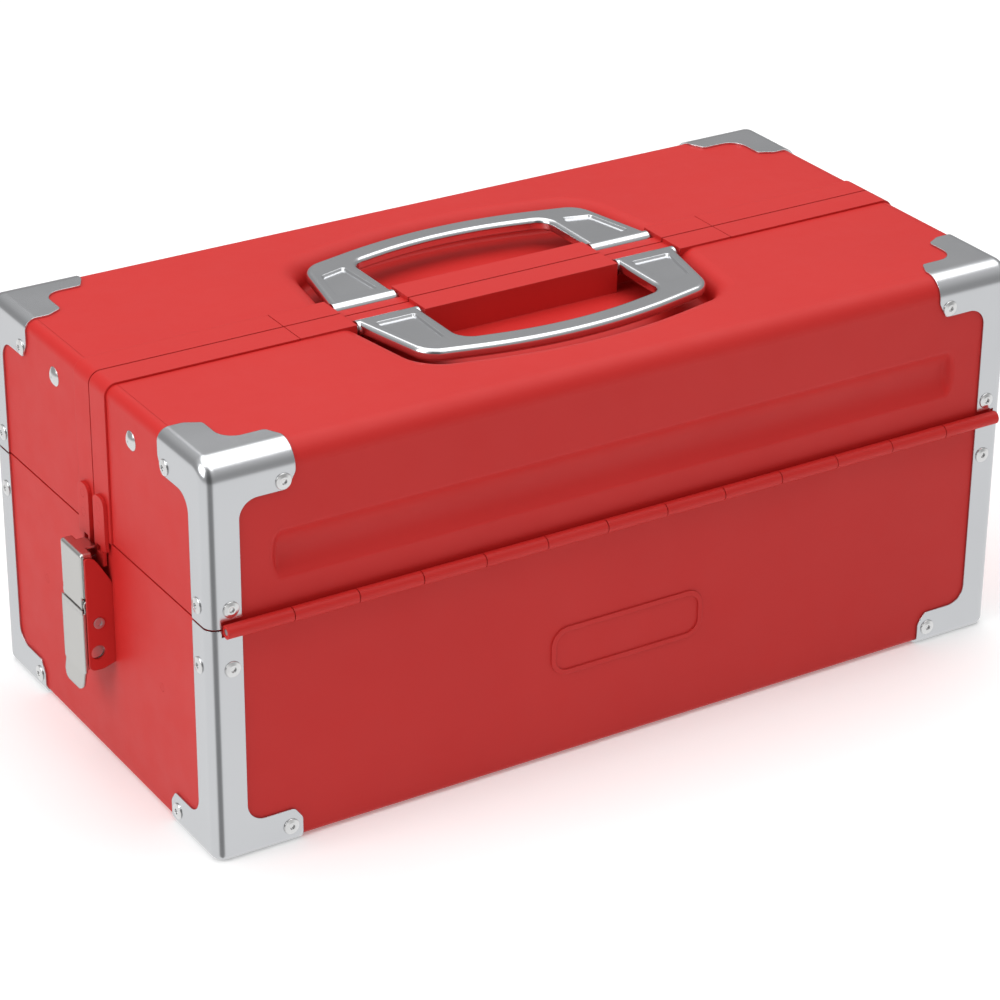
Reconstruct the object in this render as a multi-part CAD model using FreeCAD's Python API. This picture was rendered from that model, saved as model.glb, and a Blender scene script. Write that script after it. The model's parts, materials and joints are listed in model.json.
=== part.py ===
import FreeCAD, Part
import math
import os

# Steel toolbox with two wings that open to the front and to the back, two fold-down half
# handles, a latch at each end and a lift-out tray.
# X runs along the box, -Y is the front, +Z is up, and the origin is at the centre of the base
# at floor level. Every length is in millimetres.

# Driving dimensions of the box.
LENGTH = 433.0
WIDTH = 221.0
HEIGHT = 196.0
SEAM_Z = 117.0
SHEET = 1.0
BRACKET_SHEET = 1.0
SEAM_GAP = 1.0
CENTRE_GAP = 0.4

# Faces of the painted sheet, which lies under the corner brackets.
FACE_X = LENGTH / 2 - BRACKET_SHEET
FACE_Y = WIDTH / 2 - BRACKET_SHEET
FLOOR_Z = BRACKET_SHEET
TOP_Z = HEIGHT - BRACKET_SHEET
BASE_TOP_Z = SEAM_Z - SEAM_GAP / 2
WING_LOW_Z = SEAM_Z + SEAM_GAP / 2
END_RADIUS = 5.0
FLOOR_RADIUS = 3.0
SHOULDER_RADIUS = 10.0

# End panels: a visible flange, then a lap under the neighbouring sheet.
FLANGE = 5.5
LAP = 14.0
PANEL_SPLIT_X = FACE_X - FLANGE
PANEL_GAP = 0.08
LIP_HEIGHT = 2.0

# Plain raised frame pressed into the front of the lower box.
EMBLEM_WIDTH = 84.0
EMBLEM_HEIGHT = 25.0
EMBLEM_RADIUS = 9.0
EMBLEM_LINE = 2.5
EMBLEM_PROUD = 0.7
EMBLEM_Z = 56.0

# Piano hinges.
KNUCKLES = 13
HINGE_LENGTH = 420.0
KNUCKLE_RADIUS = 3.2
KNUCKLE_GAP = 0.4
HINGE_PIN_RADIUS = 1.5
RUNNING_GAP = 0.05
HINGE_Y = FACE_Y + KNUCKLE_RADIUS + 0.4
LEAF_SHEET = 0.8
LEAF_HEIGHT = 11.0
LEAF_END_INSET = 8.0

# Corner brackets.
LEG_WIDTH = 16.0
ARM_LENGTH = 43.5
ARM_TIP_LENGTH = 39.5
ARM_STRAIGHT = 12.5
ARM_BEND_RADIUS = 4.0
ARM_TIP_RADIUS = 2.5
TOP_ARM_WIDTH = 20.0
FOOT_ARM_WIDTH = 17.0
ARM_FILLET = 9.0
FOOT_DEPTH = 16.0

# Pop rivets through the brackets, measured from the corner of the box.
RIVET_LEG_INSET = 10.8
RIVET_ARM_INSET = 37.5
RIVET_TOP_Z = 180.2
RIVET_FOOT_Z = 8.4
RIVET_SEAM_UP = 8.8
RIVET_SEAM_DOWN = 20.4
RIVET_HEAD_RADIUS = 3.9
RIVET_HEAD_HEIGHT = 1.0
RIVET_EYE_RADIUS = 1.3
RIVET_SHANK_RADIUS = 2.0
RIVET_HOLE_RADIUS = 2.05

# Dome rivets that hold the rail inside each wing.
DOME_Y = 39.0
DOME_Z = 178.5
DOME_RADIUS = 4.8
DOME_HEIGHT = 1.8

# Rail inside each wing.
RAIL_LOW_Z = 158.0
RAIL_HIGH_Z = 170.0
RAIL_HALF = 10.0

# Pressed groove in the front of each wing: a shallow cove with a soft top edge.
GROOVE_HALF = 183.5
GROOVE_LOW_Z = 133.5
GROOVE_HIGH_Z = 156.5
GROOVE_DEPTH = 4.2
GROOVE_END_RADIUS = 4.0
GROOVE_RIM_RADIUS = 3.0

# Raised band along the middle of the top, and its straps at the ends.
BAND_HALF = 15.6
BAND_PROUD = 1.0
BAND_SPLIT_X = 118.5
SPLIT_GAP = 0.4
CENTRE_LIP = 18.0

# Handle recess and the beam between the feet of the handles.
RECESS_FLOOR_Z = TOP_Z - 14.0
RECESS_SIDE_GAP = 2.5
RECESS_FRONT_GAP = 5.0
RECESS_LIP_RADIUS = 10.0
RECESS_FLOOR_RADIUS = 3.0
BEAM_HALF_X = 53.0
STRIP_HALF = 6.6
STRIP_TOP_Z = TOP_Z - 1.0
FOOT_SLOT_X = 89.0

# Half handles. The bow runs through three points: corner, middle of the reach, corner.
HANDLE_TOP_Z = HEIGHT
BOW_OUTER_CORNER_Y = -57.5
BOW_OUTER_MIDDLE_Y = -76.0
BOW_OUTER_CORNER_RADIUS = 14.0
BOW_OUTER_RADIUS = 225.0
BOW_INNER_CORNER_Y = -50.5
BOW_INNER_MIDDLE_Y = -62.0
BOW_INNER_CORNER_RADIUS = 9.0
BOW_INNER_RADIUS = 190.0
HANDLE_THICK = 6.0
BARREL_RADIUS = 4.0
HANDLE_AXIS_Y = 11.4
HANDLE_AXIS_Z = HANDLE_TOP_Z - BARREL_RADIUS
HANDLE_PIN_RADIUS = 2.0
FOOT_IN_X = 54.5
FOOT_OUT_X = 87.5
HANDLE_CORNER_X = 77.5
HANDLE_TOP_ROUND = 2.4
HANDLE_LOW_ROUND = 1.6
POCKET_DEPTH = 1.2

# Latches. Places are given as (distance from the middle, height).
LATCH_HALF = 12.5
HOUSING_SHEET = 1.2
HOUSING_LOW_Z = 54.0
HOUSING_BACK_Z = 97.0
HOUSING_HIGH_Z = 111.3
HOUSING_FRONT_X = FACE_X + 13.0
LATCH_FRONT_X = LENGTH / 2 + 13.7
LATCH_SHEET = 1.2
LATCH_PLATE_HALF = 10.9
LATCH_EDGE_RADIUS = 1.6
LEVER_PIVOT = (FACE_X + 7.5, 78.0)
LINK_PIVOT = (FACE_X + 11.5, 87.0)
PADLOCK_PLACE = (FACE_X + 8.5, 63.0)
PADLOCK_RADIUS = 3.5
LATCH_PIN_RADIUS = 1.5
PIVOT_HEAD_RADIUS = 2.7
PIVOT_HEAD_HEIGHT = 0.6
PIVOT_EYE_RADIUS = 1.3
LEVER_TOP_Z = LINK_PIVOT[1] - 3.6
LEVER_LOW_Z = 52.0
TAB_HALF = 9.8
TAB_LOW_Z = 43.0
TAB_RADIUS = 5.0
TAB_FLARE = 1.2
CLAW_LOW_Z = LINK_PIVOT[1] - 1.9
CLAW_NECK_Z = LINK_PIVOT[1] + 4.2
CLAW_TOP_Z = 113.2
CLAW_SETBACK = 0.4
CLAW_WALL = 3.0
CLAW_TOP_DEPTH = 5.5
HOOK_HALF = 5.0

# Tongues that the claws hold.
TONGUE_IN_Y = 2.4
TONGUE_OUT_Y = 13.4
TONGUE_NECK_Y = 10.3
TONGUE_TOP_Z = 139.0
TONGUE_LOW_Z = 104.0
TONGUE_STEP_Z = 112.5
TONGUE_SHEET = 2.0

# Tray and the ledges that carry it.
TRAY_HALF_X = 208.5
TRAY_HALF_Y = 100.0
TRAY_LOW_Z = 70.0
TRAY_HIGH_Z = 110.0
TRAY_RIM = 4.0
LEDGE_IN_X = 200.0
LEDGE_HALF_Y = 88.0
LEDGE_WEB = 7.4
TRAY_CELL_X = 70.0
BAIL_HALF = 60.0
BAIL_REACH = 30.0
BAIL_GRIP_RADIUS = 3.5
BAIL_ARM_HALF = 2.0
BAIL_EYE_RADIUS = 3.5
BAIL_PIN_RADIUS = 1.5
BAIL_Z = 114.0
LUG_HALF = 5.0
LUG_CENTRE = BAIL_HALF - BAIL_ARM_HALF - 0.5 - LUG_HALF

X_AXIS = FreeCAD.Vector(1, 0, 0)
Y_AXIS = FreeCAD.Vector(0, 1, 0)
Z_AXIS = FreeCAD.Vector(0, 0, 1)
ORIGIN = FreeCAD.Vector(0, 0, 0)


def box(x0, x1, y0, y1, z0, z1):
    return Part.makeBox(x1 - x0, y1 - y0, z1 - z0, FreeCAD.Vector(x0, y0, z0))


def rod(start, axis, radius, length):
    return Part.makeCylinder(radius, length, FreeCAD.Vector(*start), axis)


def flip_x(shape):
    return shape.mirror(ORIGIN, X_AXIS)


def flip_y(shape):
    return shape.mirror(ORIGIN, Y_AXIS)


def rounded_face(points):
    """A face in the XY plane from (x, y, corner radius) triples."""
    count = len(points)
    corners = []
    for index in range(count):
        before = FreeCAD.Vector(*points[index - 1][:2], 0)
        here = FreeCAD.Vector(*points[index][:2], 0)
        after = FreeCAD.Vector(*points[(index + 1) % count][:2], 0)
        radius = points[index][2]
        if radius == 0:
            corners.append((here, None, here))
            continue
        back = (before - here).normalize()
        ahead = (after - here).normalize()
        half = back.getAngle(ahead) / 2
        reach = radius / math.tan(half)
        middle = (back + ahead).normalize()
        top = here + middle * (radius / math.sin(half) - radius)
        corners.append((here + back * reach, top, here + ahead * reach))
    edges = []
    for index in range(count):
        start, top, end = corners[index]
        if top is not None:
            edges.append(Part.Arc(start, top, end).toShape())
        following = corners[(index + 1) % count][0]
        if (following - end).Length > 1e-6:
            edges.append(Part.LineSegment(end, following).toShape())
    return Part.Face(Part.Wire(edges))


def prism_z(points, low, high):
    face = rounded_face(points)
    face.translate(FreeCAD.Vector(0, 0, low))
    return face.extrude(FreeCAD.Vector(0, 0, high - low))


def prism_y(points, low, high):
    """Points are (x, z, radius)."""
    solid = prism_z(points, -high, -low)
    solid.rotate(ORIGIN, X_AXIS, 90)
    return solid


def prism_x(points, low, high):
    """Points are (y, z, radius)."""
    solid = prism_z(points, low, high)
    solid.rotate(ORIGIN, X_AXIS, 90)
    solid.rotate(ORIGIN, Z_AXIS, 90)
    return solid


def all_of(shapes):
    return Part.makeCompound(shapes)


def joined(shapes):
    result = shapes[0]
    for shape in shapes[1:]:
        result = result.fuse(shape)
    return result.removeSplitter()


def fillet_where(solid, radius, wanted):
    """Fillet the edges whose centre of mass passes the test."""
    edges = [edge for edge in solid.Edges if wanted(edge)]
    return solid.makeFillet(radius, edges)


# ---------------------------------------------------------------- box blocks

def base_block(grow):
    """Solid block of the lower box, with its sheet face moved outwards by grow."""
    half_x = FACE_X + grow
    half_y = FACE_Y + grow
    low = FLOOR_Z - grow
    solid = box(-half_x, half_x, -half_y, half_y, low, BASE_TOP_Z)
    solid = fillet_where(solid, END_RADIUS + grow, lambda e: abs(e.CenterOfMass.z - low) > 1
                         and abs(e.CenterOfMass.z - BASE_TOP_Z) > 1)
    return fillet_where(solid, FLOOR_RADIUS + grow, lambda e: abs(e.BoundBox.ZMax - low) < 1e-3)


def wing_block(grow):
    """Solid block of the front wing, with its sheet face moved outwards by grow."""
    half_x = FACE_X + grow
    front = -FACE_Y - grow
    top = TOP_Z + grow
    solid = box(-half_x, half_x, front, -CENTRE_GAP, WING_LOW_Z, top)
    solid = fillet_where(solid, SHOULDER_RADIUS + grow,
                         lambda e: abs(e.CenterOfMass.z - top) < 1e-3
                         and abs(e.CenterOfMass.y - front) < 1e-3)

    def round_the_end(edge):
        on_end = abs(abs(edge.CenterOfMass.x) - half_x) < 1e-3
        on_foot = abs(edge.CenterOfMass.z - WING_LOW_Z) < 1e-3
        on_middle = abs(edge.CenterOfMass.y + CENTRE_GAP) < 1e-3
        return on_end and not on_foot and not on_middle

    return fillet_where(solid, END_RADIUS + grow, round_the_end)


def hinge_notches():
    """Room in the brackets for the knuckles, front and back."""
    half = HINGE_LENGTH / 2 + 0.5
    reach = KNUCKLE_RADIUS + 0.5
    front = box(-half, half, -FACE_Y - 3, -FACE_Y + 1e-3, SEAM_Z - reach, SEAM_Z + reach)
    return all_of([front, flip_y(front)])


# ---------------------------------------------------------------- rivets

def pop_rivet():
    """Pop rivet along +Z, its head standing on z = 0 with the eye of the drawn mandrel."""
    eye_floor = RIVET_HEAD_HEIGHT / 4
    profile = rounded_face([(0, 0, 0), (RIVET_HEAD_RADIUS, 0, 0), (RIVET_HEAD_RADIUS, 0.5, 0.4),
                            (RIVET_SHANK_RADIUS, RIVET_HEAD_HEIGHT, 1.0),
                            (RIVET_EYE_RADIUS, RIVET_HEAD_HEIGHT, 0),
                            (RIVET_EYE_RADIUS, eye_floor, 0), (0, eye_floor, 0)])
    profile.rotate(ORIGIN, X_AXIS, 90)
    return profile.revolve(ORIGIN, Z_AXIS, 360)


def dome_rivet():
    """Dome rivet along +Z, its head standing on z = 0."""
    radius = (DOME_RADIUS ** 2 + DOME_HEIGHT ** 2) / (2 * DOME_HEIGHT)
    ball = Part.makeSphere(radius, FreeCAD.Vector(0, 0, DOME_HEIGHT - radius))
    return ball.common(box(-9, 9, -9, 9, 0, 9))


def set_rivet(head, place, outward, grip):
    """Place a head on its face and give it a shank and a closing tail through the grip."""
    shank = rod((0, 0, -grip), Z_AXIS, RIVET_SHANK_RADIUS, grip)
    tail = rod((0, 0, -grip - 1.0), Z_AXIS, RIVET_SHANK_RADIUS + 0.9, 1.0)
    rivet = joined([head, shank, tail])
    turn = FreeCAD.Rotation(Z_AXIS, FreeCAD.Vector(*outward))
    rivet.Placement = FreeCAD.Placement(FreeCAD.Vector(*place), turn)
    return rivet


def rivet_hole(place, outward):
    axis = FreeCAD.Vector(*outward)
    start = FreeCAD.Vector(*place) - axis * 6
    return Part.makeCylinder(RIVET_HOLE_RADIUS, 8, start, axis)


def corner_rivet_places(seam_z, arm_z, x_sign, y_sign, leg_grip):
    """Place, outward axis and grip of the four rivets of one bracket."""
    leg_x = x_sign * (LENGTH / 2 - RIVET_LEG_INSET)
    arm_x = x_sign * (LENGTH / 2 - RIVET_ARM_INSET)
    leg_y = y_sign * (WIDTH / 2 - RIVET_LEG_INSET)
    arm_y = y_sign * (WIDTH / 2 - RIVET_ARM_INSET)
    face_x = x_sign * LENGTH / 2
    face_y = y_sign * WIDTH / 2
    grip = BRACKET_SHEET + SHEET
    return [((leg_x, face_y, seam_z), (0, y_sign, 0), leg_grip),
            ((arm_x, face_y, arm_z), (0, y_sign, 0), grip),
            ((face_x, leg_y, seam_z), (x_sign, 0, 0), grip),
            ((face_x, arm_y, arm_z), (x_sign, 0, 0), grip)]


def base_rivet_places():
    """The rivets in the front and back legs also go through the lap of the end panel."""
    leg_grip = BRACKET_SHEET + 2 * SHEET
    places = []
    for x_sign in (-1, 1):
        for y_sign in (-1, 1):
            places += corner_rivet_places(SEAM_Z - RIVET_SEAM_DOWN, RIVET_FOOT_Z, x_sign, y_sign,
                                          leg_grip)
    return places


def wing_rivet_places():
    leg_grip = BRACKET_SHEET + SHEET
    places = []
    for x_sign in (-1, 1):
        places += corner_rivet_places(SEAM_Z + RIVET_SEAM_UP, RIVET_TOP_Z, x_sign, -1, leg_grip)
    return places


def pop_rivets_at(places):
    return [set_rivet(pop_rivet(), place, axis, grip) for place, axis, grip in places]


def holes_at(places):
    return all_of([rivet_hole(place, axis) for place, axis, grip in places])


# ---------------------------------------------------------------- brackets

def bracket_side(low, high, arm_at_top, arm_width):
    """Outline of one side of a bracket: (distance from the corner, height, radius)."""
    inward = -1 if arm_at_top else 1
    edge = high if arm_at_top else low
    leg_end = low if arm_at_top else high
    bend = edge + inward * ARM_STRAIGHT
    tip = edge + inward * arm_width
    return [(0, edge, 0), (ARM_LENGTH, edge, 0), (ARM_LENGTH, bend, ARM_BEND_RADIUS),
            (ARM_TIP_LENGTH, tip, ARM_TIP_RADIUS), (LEG_WIDTH, tip, ARM_FILLET),
            (LEG_WIDTH, leg_end, 0), (0, leg_end, 0)]


def bracket_cap(width):
    """Outline of the flat of a bracket: distances from the two vertical faces."""
    along = [(ARM_LENGTH, 0, 0), (ARM_LENGTH, ARM_STRAIGHT, ARM_BEND_RADIUS),
             (ARM_TIP_LENGTH, width, ARM_TIP_RADIUS)]
    across = [(v, u, radius) for u, v, radius in reversed(along)]
    return [(0, 0, 0)] + along + [(width, width, ARM_FILLET)] + across


def front_left_masks(side, cap, cap_low, cap_high):
    """Three prisms that pick a bracket out of the shell at the front left corner."""
    corner_x = -LENGTH / 2
    corner_y = -WIDTH / 2
    reach = END_RADIUS + 1
    front = prism_y([(corner_x + u, v, r) for u, v, r in side], corner_y - 1, corner_y + reach)
    end = prism_x([(corner_y + u, v, r) for u, v, r in side], corner_x - 1, corner_x + reach)
    flat = prism_z([(corner_x + u, corner_y + v, r) for u, v, r in cap], cap_low, cap_high)
    return front, end, flat


def bracket(shell, side, cap, cap_low, cap_high):
    front, end, flat = front_left_masks(side, cap, cap_low, cap_high)
    piece = joined([shell.common(front), shell.common(end), shell.common(flat)])
    return piece.cut(hinge_notches())


def base_bracket():
    shell = base_block(BRACKET_SHEET).cut(base_block(0))
    side = bracket_side(-1, BASE_TOP_Z, False, FOOT_ARM_WIDTH + 1)
    return bracket(shell, side, bracket_cap(FOOT_DEPTH), -1, FLOOR_RADIUS)


def wing_bracket():
    shell = wing_block(BRACKET_SHEET).cut(wing_block(0))
    side = bracket_side(WING_LOW_Z, HEIGHT, True, TOP_ARM_WIDTH)
    return bracket(shell, side, bracket_cap(TOP_ARM_WIDTH), TOP_Z - SHOULDER_RADIUS / 2, HEIGHT + 1)


# ---------------------------------------------------------------- lower box

def emblem_frame():
    """The raised frame, with nothing in it."""
    inner_width = EMBLEM_WIDTH - 2 * EMBLEM_LINE
    inner_height = EMBLEM_HEIGHT - 2 * EMBLEM_LINE
    outer = rounded_rectangle(EMBLEM_WIDTH, EMBLEM_HEIGHT, EMBLEM_RADIUS)
    inner = rounded_rectangle(inner_width, inner_height, EMBLEM_RADIUS - EMBLEM_LINE)
    ring = prism_y(outer, -FACE_Y - EMBLEM_PROUD, -FACE_Y + 0.2)
    ring = ring.cut(prism_y(inner, -FACE_Y - 1, -FACE_Y + 1))
    ring.translate(FreeCAD.Vector(0, 0, EMBLEM_Z))
    return ring


def rounded_rectangle(width, height, radius):
    x = width / 2
    y = height / 2
    return [(-x, -y, radius), (x, -y, radius), (x, y, radius), (-x, y, radius)]


def split_box(half, low_z, high_z):
    return box(-half, half, -WIDTH, WIDTH, low_z, high_z)


def base_wrap():
    """Front, floor and back in one folded sheet."""
    sheet = base_block(0).cut(base_block_inner(SHEET))
    middle = sheet.common(split_box(PANEL_SPLIT_X - PANEL_GAP, -5, HEIGHT))
    middle = joined([middle, emblem_frame()])
    return middle.cut(holes_at(base_rivet_places()))


def base_block_inner(inset):
    """The space inside the lower box, open at the top."""
    inner = base_block(-inset)
    lid = box(-FACE_X + 8, FACE_X - 8, -FACE_Y + 8, FACE_Y - 8, BASE_TOP_Z - 1, BASE_TOP_Z + 1)
    return inner.fuse(lid)


def base_end():
    """The -X end panel: its flange is flush outside and laps under the wrapped sheet."""
    sheet = base_block(0).cut(base_block_inner(SHEET))
    cap = sheet.common(box(-FACE_X - 1, -PANEL_SPLIT_X, -WIDTH, WIDTH, -5, HEIGHT))
    lap_high = BASE_TOP_Z - LEAF_HEIGHT - 1
    lap = base_block(-SHEET).cut(base_block_inner(2 * SHEET))
    lap = lap.common(box(-FACE_X + SHEET + 2, -PANEL_SPLIT_X + LAP, -WIDTH, WIDTH, -5, lap_high))
    half = FACE_Y - 12
    lip = box(-FACE_X + 1.3, -FACE_X + 2.3, -half, half, BASE_TOP_Z - 11, BASE_TOP_Z + LIP_HEIGHT)
    foot = box(-FACE_X + SHEET - 0.2, -FACE_X + 2.3, -half, half, BASE_TOP_Z - 11, BASE_TOP_Z - 5)
    panel = joined([cap, lap, lip, foot])
    return panel.cut(holes_at(base_rivet_places())).cut(latch_rivet_holes()).cut(ledge_rivet_holes())


# ---------------------------------------------------------------- hinges

def knuckle_span(index):
    pitch = HINGE_LENGTH / KNUCKLES
    start = -HINGE_LENGTH / 2 + index * pitch + KNUCKLE_GAP / 2
    return start, start + pitch - KNUCKLE_GAP


def hinge_leaf(first, flange_low, flange_high, bore_radius):
    """Front leaf: every second knuckle, its strip through the seam, and the flange inside."""
    flange_half = HINGE_LENGTH / 2 - LEAF_END_INSET
    pieces = [box(-flange_half, flange_half, -FACE_Y + SHEET, -FACE_Y + SHEET + LEAF_SHEET,
                  flange_low, flange_high)]
    half = LEAF_SHEET / 2
    for index in range(first, KNUCKLES, 2):
        start, end = knuckle_span(index)
        pieces.append(box(max(start, -HINGE_LENGTH / 2 + 1), min(end, HINGE_LENGTH / 2 - 1),
                          -HINGE_Y + KNUCKLE_RADIUS - 0.8, -FACE_Y + SHEET + LEAF_SHEET,
                          SEAM_Z - half, SEAM_Z + half))
        pieces.append(rod((start, -HINGE_Y, SEAM_Z), X_AXIS, KNUCKLE_RADIUS, end - start))
    leaf = joined(pieces)
    return leaf.cut(rod((-LENGTH / 2, -HINGE_Y, SEAM_Z), X_AXIS, bore_radius, LENGTH))


def strip_clearance(leaf, first, low, high):
    """Take the flange away where the strips of the other leaf pass."""
    for index in range(first, KNUCKLES, 2):
        start, end = knuckle_span(index)
        leaf = leaf.cut(box(start - 0.5, end + 0.5, -FACE_Y, -FACE_Y + 4, low, high))
    return leaf


def base_leaf():
    """Lower leaf, crimped on the pin."""
    leaf = hinge_leaf(1, BASE_TOP_Z - LEAF_HEIGHT, SEAM_Z + LEAF_SHEET / 2 - 1e-3, HINGE_PIN_RADIUS)
    return strip_clearance(leaf, 0, SEAM_Z - 0.9, SEAM_Z + 2)


def wing_leaf():
    """Wing leaf, free to turn on the pin."""
    bore_radius = HINGE_PIN_RADIUS + RUNNING_GAP
    leaf = hinge_leaf(0, SEAM_Z - LEAF_SHEET / 2, WING_LOW_Z + LEAF_HEIGHT, bore_radius)
    return strip_clearance(leaf, 1, SEAM_Z - 2, SEAM_Z + 0.9)


def hinge_pin():
    start = -HINGE_LENGTH / 2 + KNUCKLE_GAP
    return rod((start, -HINGE_Y, SEAM_Z), X_AXIS, HINGE_PIN_RADIUS, HINGE_LENGTH - 2 * KNUCKLE_GAP)


# ---------------------------------------------------------------- latches at the -X end

def latch_rivet_places():
    return [(-FACE_X - HOUSING_SHEET, y, z) for y in (-5.0, 5.0) for z in (59.5, 88.0)]


def latch_rivet_holes():
    return all_of([rivet_hole(place, (-1, 0, 0)) for place in latch_rivet_places()])


def latch_rivets():
    return [set_rivet(low_rivet_head(), place, (-1, 0, 0), HOUSING_SHEET + SHEET)
            for place in latch_rivet_places()]


def low_rivet_head():
    return rod((0, 0, 0), Z_AXIS, 3.0, 0.8)


def latch_housing():
    """Folded red cheeks on a back plate, with the pivot and padlock holes."""
    back = -FACE_X
    front = -HOUSING_FRONT_X
    outline = [(back, HOUSING_LOW_Z + 2, 0), (back, HOUSING_BACK_Z, 9),
               (front + 4.5, HOUSING_HIGH_Z, 6), (front, HOUSING_HIGH_Z, 1),
               (front, HOUSING_LOW_Z, 3), (back - 6, HOUSING_LOW_Z, 3)]
    cheek = prism_y(outline, -LATCH_HALF, -LATCH_HALF + HOUSING_SHEET)
    plate = box(back - HOUSING_SHEET, back, -LATCH_HALF, LATCH_HALF,
                HOUSING_LOW_Z + 2, HOUSING_BACK_Z - 6)
    housing = joined([plate, cheek, flip_y(cheek)])
    housing = housing.cut(cross_rod(LEVER_PIVOT, LATCH_PIN_RADIUS))
    housing = housing.cut(cross_rod(PADLOCK_PLACE, PADLOCK_RADIUS))
    return housing.cut(latch_rivet_holes())


def cross_rod(place, radius):
    """Rod along Y through the whole latch at one of its places."""
    return rod((-place[0], -2 * LATCH_HALF, place[1]), Y_AXIS, radius, 4 * LATCH_HALF)


def latch_pivot_pin():
    """Pin through both cheeks with a ring head at each end."""
    half = LATCH_HALF + PIVOT_HEAD_HEIGHT
    start = (-LEVER_PIVOT[0], -half, LEVER_PIVOT[1])
    pin = rod(start, Y_AXIS, LATCH_PIN_RADIUS, 2 * half)
    head = rod(start, Y_AXIS, PIVOT_HEAD_RADIUS, PIVOT_HEAD_HEIGHT)
    eye = rod(start, Y_AXIS, PIVOT_EYE_RADIUS, PIVOT_HEAD_HEIGHT - 0.1)
    return joined([pin, head, flip_y(head)]).cut(eye).cut(flip_y(eye))


def latch_lever():
    """Pressed lever: front plate, flared finger tab, and two ears that hold both pins."""
    front = -LATCH_FRONT_X
    back = front + LATCH_SHEET
    profile = [(front, LEVER_TOP_Z, 0), (front, LEVER_LOW_Z, 12), (front - TAB_FLARE, TAB_LOW_Z, 0),
               (back - TAB_FLARE, TAB_LOW_Z, 0), (back, LEVER_LOW_Z, 12), (back, LEVER_TOP_Z, 0)]
    right = [(TAB_HALF, TAB_LOW_Z, TAB_RADIUS), (TAB_HALF, LEVER_LOW_Z, 0),
             (LATCH_PLATE_HALF, LEVER_LOW_Z, 1.5), (LATCH_PLATE_HALF, LEVER_TOP_Z, 0)]
    face = [(-y, z, radius) for y, z, radius in reversed(right)] + right
    plate = prism_y(profile, -LATCH_PLATE_HALF, LATCH_PLATE_HALF)
    plate = plate.common(prism_x(face, front - 5, back + 1))
    ear_outline = [(front + 0.5, LEVER_LOW_Z + 2, 0), (front + 0.5, LEVER_TOP_Z, 0),
                   (back, LEVER_TOP_Z, 0),
                   (-LINK_PIVOT[0] - 2.6, LINK_PIVOT[1] + 2.6, 2.4),
                   (-LINK_PIVOT[0] + 2.6, LINK_PIVOT[1] + 2.6, 2.4),
                   (-LEVER_PIVOT[0] + 4.0, LEVER_PIVOT[1] + 2.0, 2.5),
                   (-LEVER_PIVOT[0] + 3.0, LEVER_LOW_Z + 6, 5)]
    ear = prism_y(ear_outline, -LATCH_PLATE_HALF, -LATCH_PLATE_HALF + LATCH_SHEET)
    lever = joined([plate, ear, flip_y(ear)])
    lever = lever.cut(cross_rod(LEVER_PIVOT, LATCH_PIN_RADIUS + RUNNING_GAP))
    lever = lever.cut(cross_rod(LINK_PIVOT, LATCH_PIN_RADIUS))
    return lever.cut(cross_rod(PADLOCK_PLACE, PADLOCK_RADIUS + 0.5))


def latch_link_pin():
    half = LATCH_PLATE_HALF
    return rod((-LINK_PIVOT[0], -half, LINK_PIVOT[1]), Y_AXIS, LATCH_PIN_RADIUS, 2 * half)


def claw_shell():
    """Front plate, side walls and top of the claw, pressed from one sheet."""
    front = -LATCH_FRONT_X + CLAW_SETBACK
    half = LATCH_PLATE_HALF
    block = box(front, front + CLAW_TOP_DEPTH, -half, half, CLAW_LOW_Z, CLAW_TOP_Z)
    block = fillet_where(block, LATCH_EDGE_RADIUS, lambda e: abs(e.CenterOfMass.x - front) < 1e-3
                         and abs(abs(e.CenterOfMass.y) - half) < 1e-3)
    block = fillet_where(block, LATCH_EDGE_RADIUS, lambda e: abs(e.CenterOfMass.z - CLAW_TOP_Z) < 1e-2
                         and e.CenterOfMass.x < front + CLAW_TOP_DEPTH - 1e-3)
    inner = half - LATCH_SHEET
    room = box(front + LATCH_SHEET, front + CLAW_TOP_DEPTH + 1, -inner, inner,
               CLAW_LOW_Z - 1, CLAW_TOP_Z - LATCH_SHEET)
    behind = box(front + CLAW_WALL, front + CLAW_TOP_DEPTH + 1, -half - 1, half + 1,
                 CLAW_LOW_Z - 1, CLAW_TOP_Z - CLAW_WALL)
    return block.cut(room).cut(behind)


def latch_claw():
    """Pressed claw: shell, hook tab over the tongues and two ears on the link pin."""
    front = -LATCH_FRONT_X + CLAW_SETBACK
    hook = box(front + CLAW_TOP_DEPTH - 1, -FACE_X - 3.9, -HOOK_HALF, HOOK_HALF,
               CLAW_TOP_Z - LATCH_SHEET, CLAW_TOP_Z)
    ear_out = LATCH_PLATE_HALF - LATCH_SHEET - 0.3
    neck = box(front - 1, front + CLAW_TOP_DEPTH + 1, -LATCH_HALF, -ear_out,
               CLAW_LOW_Z - 1, CLAW_NECK_Z)
    ear_outline = [(front + 0.5, CLAW_LOW_Z, 0), (front + 0.5, CLAW_TOP_Z - 6, 0),
                   (front + 3.4, CLAW_TOP_Z - 8, 1.5), (-LINK_PIVOT[0] + 2.4, LINK_PIVOT[1] + 5, 2),
                   (-LINK_PIVOT[0] + 2.4, LINK_PIVOT[1] - 2.4, 2.3),
                   (-LINK_PIVOT[0] - 2.0, LINK_PIVOT[1] - 2.0, 0.5)]
    ear = prism_y(ear_outline, -ear_out, -ear_out + LATCH_SHEET)
    shell = claw_shell().cut(neck).cut(flip_y(neck))
    claw = joined([shell, hook, ear, flip_y(ear)])
    return claw.cut(cross_rod(LINK_PIVOT, LATCH_PIN_RADIUS + RUNNING_GAP))


# ---------------------------------------------------------------- front wing

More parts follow.
